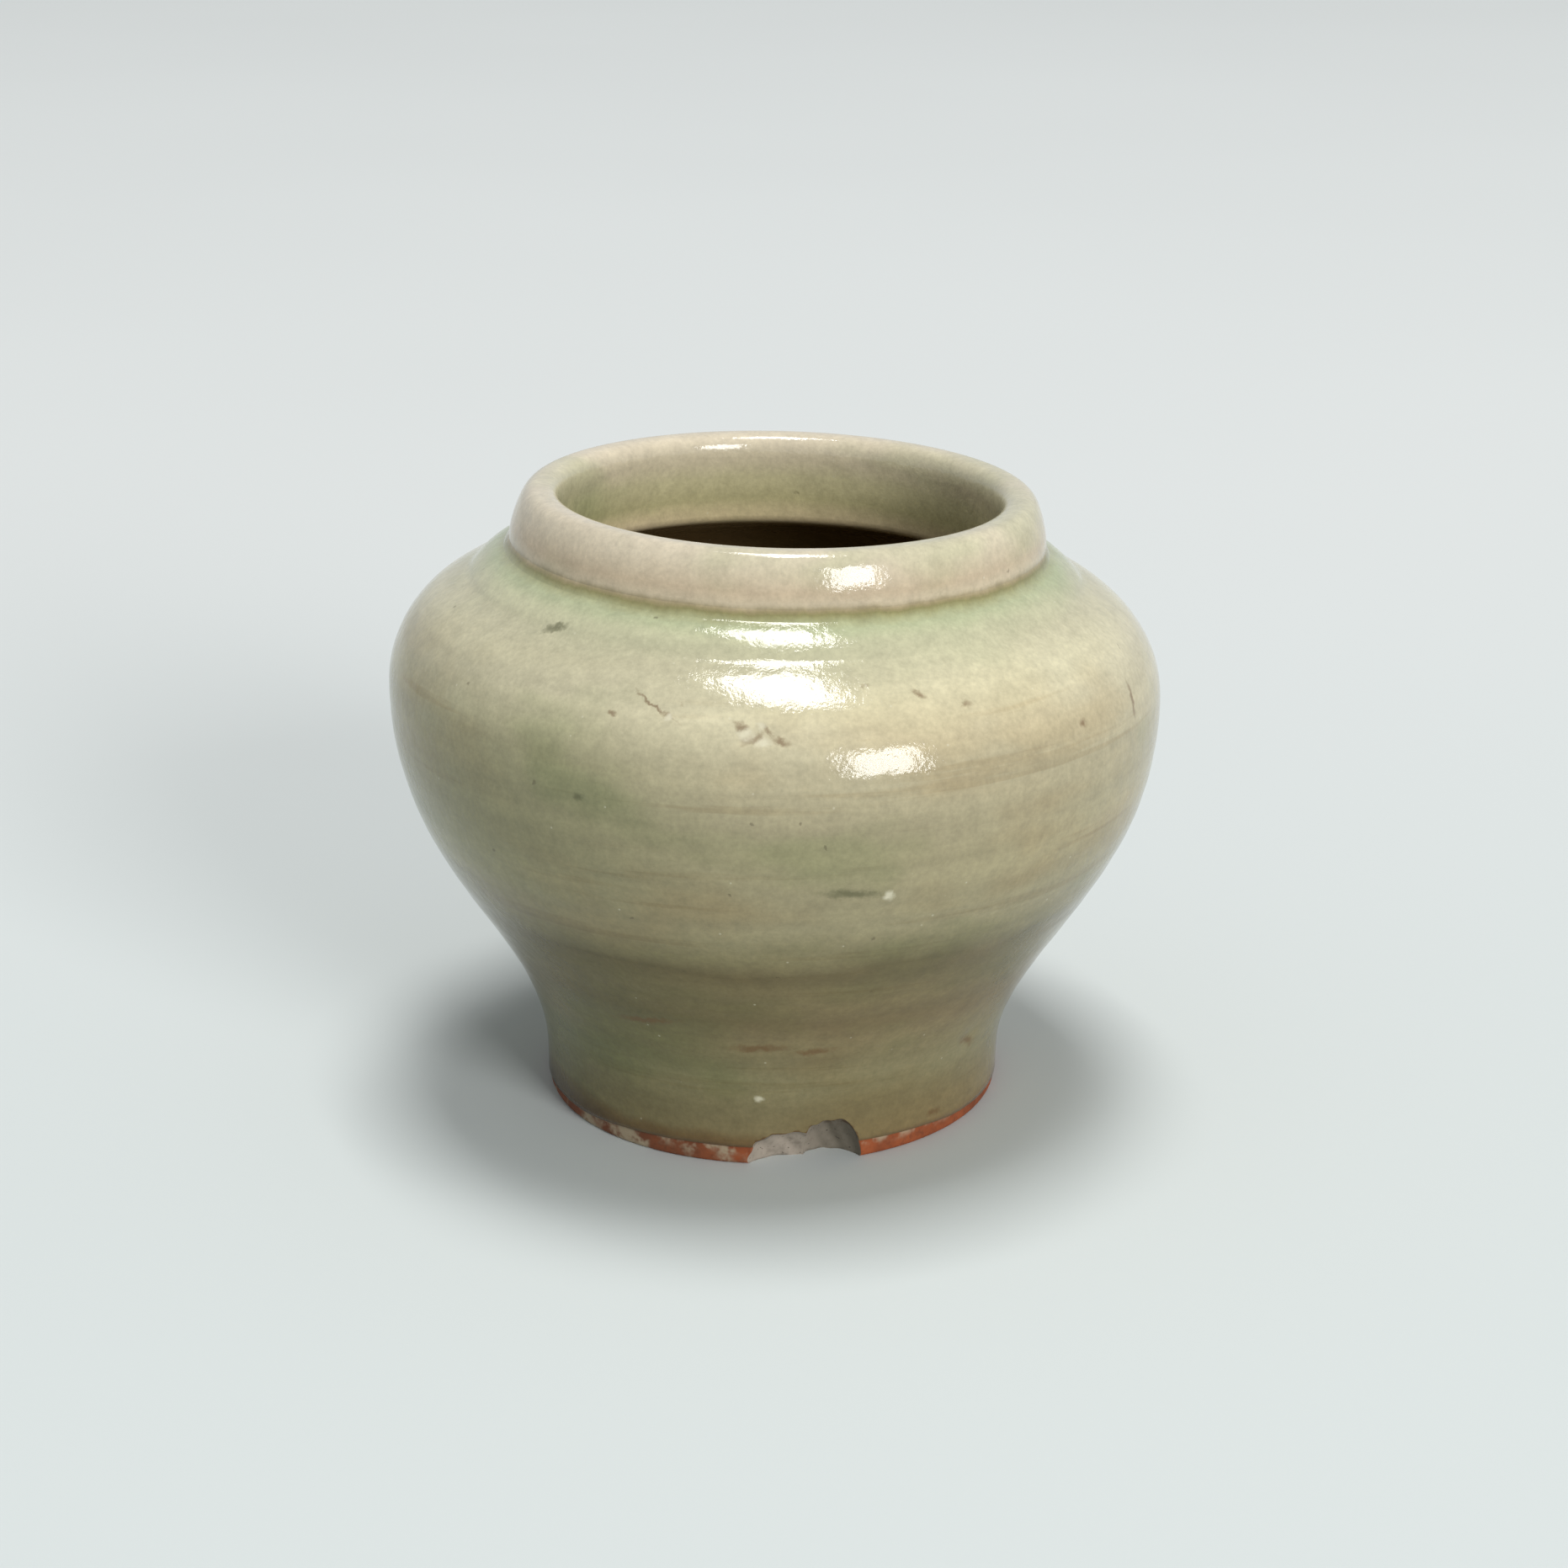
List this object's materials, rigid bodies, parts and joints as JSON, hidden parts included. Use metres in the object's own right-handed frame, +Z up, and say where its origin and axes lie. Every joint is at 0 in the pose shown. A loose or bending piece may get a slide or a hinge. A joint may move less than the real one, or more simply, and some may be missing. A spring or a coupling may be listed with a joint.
{
  "type": "jar",
  "caption": "Small squat baluster jar with a round shoulder, short upright collar, wide open mouth, narrow turned foot ring and an overall glaze.",
  "frame": {"origin": "on the surface that the jar stands on, under the middle of its belly", "axes": "+Z up out of the mouth; the front, with the chip in the foot, faces -Y; the rim dips slightly towards +X"},
  "size_m": [0.0838, 0.0838, 0.0685],
  "materials": {
    "glaze": "glossy celadon to olive-beige glaze, slightly orange-peeled",
    "clay": "bare stoneware, burnt orange on the foot, grey in the chip"
  },
  "bodies": {
    "root": {"clay_body": "clay", "glaze_coat": "glaze"}
  },
  "joints": []
}
